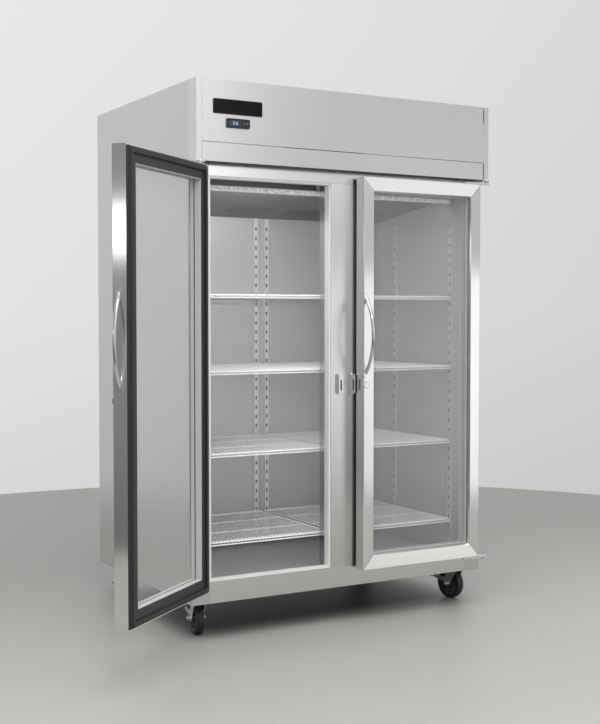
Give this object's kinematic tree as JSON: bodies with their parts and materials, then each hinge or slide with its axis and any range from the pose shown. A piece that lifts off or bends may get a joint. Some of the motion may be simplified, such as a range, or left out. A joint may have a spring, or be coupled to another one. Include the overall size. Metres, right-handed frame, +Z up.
{
  "type": "glass door merchandiser",
  "caption": "Upright glass-door merchandiser refrigerator on swivel casters, with hinged framed glass doors, wire shelves, a lit interior and a top machine compartment.",
  "frame": {"origin": "on the floor, below the middle of the cabinet's front face", "axes": "+X to the viewer's right facing the doors, +Y to the back, +Z up"},
  "size_m": [1.8055, 1.4131, 2.048],
  "materials": {
    "stainless_panel": "brushed, satin",
    "stainless_frame": "brushed, satin",
    "stainless_canopy": "brushed, satin",
    "stainless_door": "brushed, bright",
    "stainless_strip": "satin",
    "galvanised_sheet": "galvanised",
    "liner_sheet": "satin",
    "foam": "foamed polyurethane",
    "breaker_plastic": "smooth",
    "badge_black": "gloss",
    "controller_black": "satin",
    "display_window": "smoked window",
    "button_grey": "satin",
    "compressor_black": "semi-gloss",
    "coil_fins": "mill finish",
    "fan_aluminium": "mill finish",
    "motor_grey": "satin",
    "copper_tube": "drawn copper",
    "cover_grey": "satin",
    "junction_grey": "satin",
    "light_lens": "prismatic",
    "zinc_plate": "zinc plated",
    "coated_wire": "white epoxy coat",
    "chrome_fitting": "polished",
    "door_glass": "clear",
    "black_plastic": "satin",
    "black_rubber": "soft",
    "black_tyre": "moulded rubber"
  },
  "bodies": {
    "cabinet": {"side_panel_left": "stainless_panel", "side_panel_right": "stainless_panel", "back_panel": "galvanised_sheet", "base_panel": "galvanised_sheet", "corner_posts": "stainless_frame", "front_rails": "stainless_frame", "mullion": "stainless_frame", "insulation": "foam", "cabinet_liner": "liner_sheet", "breaker_strips": "breaker_plastic", "canopy_panel": "stainless_canopy", "canopy_lower_strip": "stainless_canopy", "canopy_end_caps": "stainless_canopy", "badge_plate": "badge_black", "controller_bezel": "controller_black", "controller_display": "display_window", "machine_deck": "galvanised_sheet", "compressor": "compressor_black", "condenser_coil": "coil_fins", "fan_shroud": "galvanised_sheet", "fan_motors": "motor_grey", "refrigerant_lines": "copper_tube", "evaporator_coil": "coil_fins", "evaporator_cover": "cover_grey", "rear_duct_panel": "liner_sheet", "power_inlet": "junction_grey", "light_bars": "light_lens", "pilasters": "stainless_strip", "shelf_clips": "zinc_plate", "shelves_left": "coated_wire", "shelves_right": "coated_wire", "hinge_brackets": "zinc_plate", "door_strikes": "chrome_fitting", "caster_plates": "zinc_plate"},
    "door_left": {"door_left_frame": "stainless_door", "door_left_glass": "door_glass", "door_left_inner_frame": "black_plastic", "door_left_gasket": "black_rubber", "door_left_handle": "chrome_fitting"},
    "lock_left": {"door_left_lock": "chrome_fitting"},
    "door_right": {"door_right_frame": "stainless_door", "door_right_glass": "door_glass", "door_right_inner_frame": "black_plastic", "door_right_gasket": "black_rubber", "door_right_handle": "chrome_fitting"},
    "lock_right": {"door_right_lock": "chrome_fitting"},
    "swivel_front_left": {"caster_fork_front_left": "zinc_plate"},
    "wheel_front_left": {"caster_wheel_front_left": "black_tyre"},
    "pedal_front_left": {"brake_pedal_front_left": "zinc_plate"},
    "swivel_front_right": {"caster_fork_front_right": "zinc_plate"},
    "wheel_front_right": {"caster_wheel_front_right": "black_tyre"},
    "pedal_front_right": {"brake_pedal_front_right": "zinc_plate"},
    "swivel_rear_left": {"caster_fork_rear_left": "zinc_plate"},
    "wheel_rear_left": {"caster_wheel_rear_left": "black_tyre"},
    "swivel_rear_right": {"caster_fork_rear_right": "zinc_plate"},
    "wheel_rear_right": {"caster_wheel_rear_right": "black_tyre"},
    "condenser_fan": {"condenser_fan": "fan_aluminium"},
    "evaporator_fan": {"evaporator_fan": "fan_aluminium"},
    "button_down": {"controller_button_down": "button_grey"},
    "button_up": {"controller_button_up": "button_grey"}
  },
  "joints": [
    {"name": "door_left_hinge", "type": "hinge", "parent": "cabinet", "child": "door_left", "pos_m": [-0.648, -0.056, 1], "axis": [0, 0, -1], "range_deg": [-141.5, 8.5]},
    {"name": "door_right_hinge", "type": "hinge", "parent": "cabinet", "child": "door_right", "pos_m": [0.648, -0.056, 1], "axis": [0, 0, 1], "range_deg": [0, 150]},
    {"name": "lock_left_turn", "type": "hinge", "parent": "door_left", "child": "lock_left", "pos_m": [-1.11365, -0.4264, 0.928], "axis": [-0.6225, 0.7826, 0], "range_deg": [0, 90]},
    {"name": "lock_right_turn", "type": "hinge", "parent": "door_right", "child": "lock_right", "pos_m": [0.053, -0.056, 0.928], "axis": [0, -1, 0], "range_deg": [0, 90]},
    {"name": "caster_swivel_front_left", "type": "hinge", "parent": "cabinet", "child": "swivel_front_left", "pos_m": [-0.6, 0.072, 0.14], "axis": [0, 0, 1], "continuous": true},
    {"name": "caster_roll_front_left", "type": "hinge", "parent": "swivel_front_left", "child": "wheel_front_left", "pos_m": [-0.5941, 0.10548, 0.0635], "axis": [-0.9848, 0.1736, 0], "continuous": true},
    {"name": "brake_pedal_front_left", "type": "hinge", "parent": "swivel_front_left", "child": "pedal_front_left", "pos_m": [-0.58211, 0.17344, 0.084], "axis": [-0.9848, 0.1736, 0], "range_deg": [0, 15]},
    {"name": "caster_swivel_front_right", "type": "hinge", "parent": "cabinet", "child": "swivel_front_right", "pos_m": [0.6, 0.072, 0.14], "axis": [0, 0, 1], "continuous": true},
    {"name": "caster_roll_front_right", "type": "hinge", "parent": "swivel_front_right", "child": "wheel_front_right", "pos_m": [0.59527, 0.10567, 0.0635], "axis": [-0.9903, -0.1392, 0], "continuous": true},
    {"name": "brake_pedal_front_right", "type": "hinge", "parent": "swivel_front_right", "child": "pedal_front_right", "pos_m": [0.58566, 0.174, 0.084], "axis": [-0.9903, -0.1392, 0], "range_deg": [0, 15]},
    {"name": "caster_swivel_rear_left", "type": "hinge", "parent": "cabinet", "child": "swivel_rear_left", "pos_m": [-0.6, 0.868, 0.14], "axis": [0, 0, 1], "continuous": true},
    {"name": "caster_roll_rear_left", "type": "hinge", "parent": "swivel_rear_left", "child": "wheel_rear_left", "pos_m": [-0.61163, 0.83605, 0.0635], "axis": [0.9397, -0.342, 0], "continuous": true},
    {"name": "caster_swivel_rear_right", "type": "hinge", "parent": "cabinet", "child": "swivel_rear_right", "pos_m": [0.6, 0.868, 0.14], "axis": [0, 0, 1], "continuous": true},
    {"name": "caster_roll_rear_right", "type": "hinge", "parent": "swivel_rear_right", "child": "wheel_rear_right", "pos_m": [0.6088, 0.83516, 0.0635], "axis": [0.9659, 0.2588, 0], "continuous": true},
    {"name": "condenser_fan_spin", "type": "hinge", "parent": "cabinet", "child": "condenser_fan", "pos_m": [-0.06, 0.135, 1.9], "axis": [0, 1, 0], "continuous": true},
    {"name": "evaporator_fan_spin", "type": "hinge", "parent": "cabinet", "child": "evaporator_fan", "pos_m": [0, 0.79, 1.655], "axis": [0, 0, 1], "continuous": true},
    {"name": "button_down_press", "type": "slide", "parent": "cabinet", "child": "button_down", "axis": [0, 1, 0], "range_m": [0, 0.001], "stiffness_N_per_m": 300},
    {"name": "button_up_press", "type": "slide", "parent": "cabinet", "child": "button_up", "axis": [0, 1, 0], "range_m": [0, 0.001], "stiffness_N_per_m": 300}
  ]
}
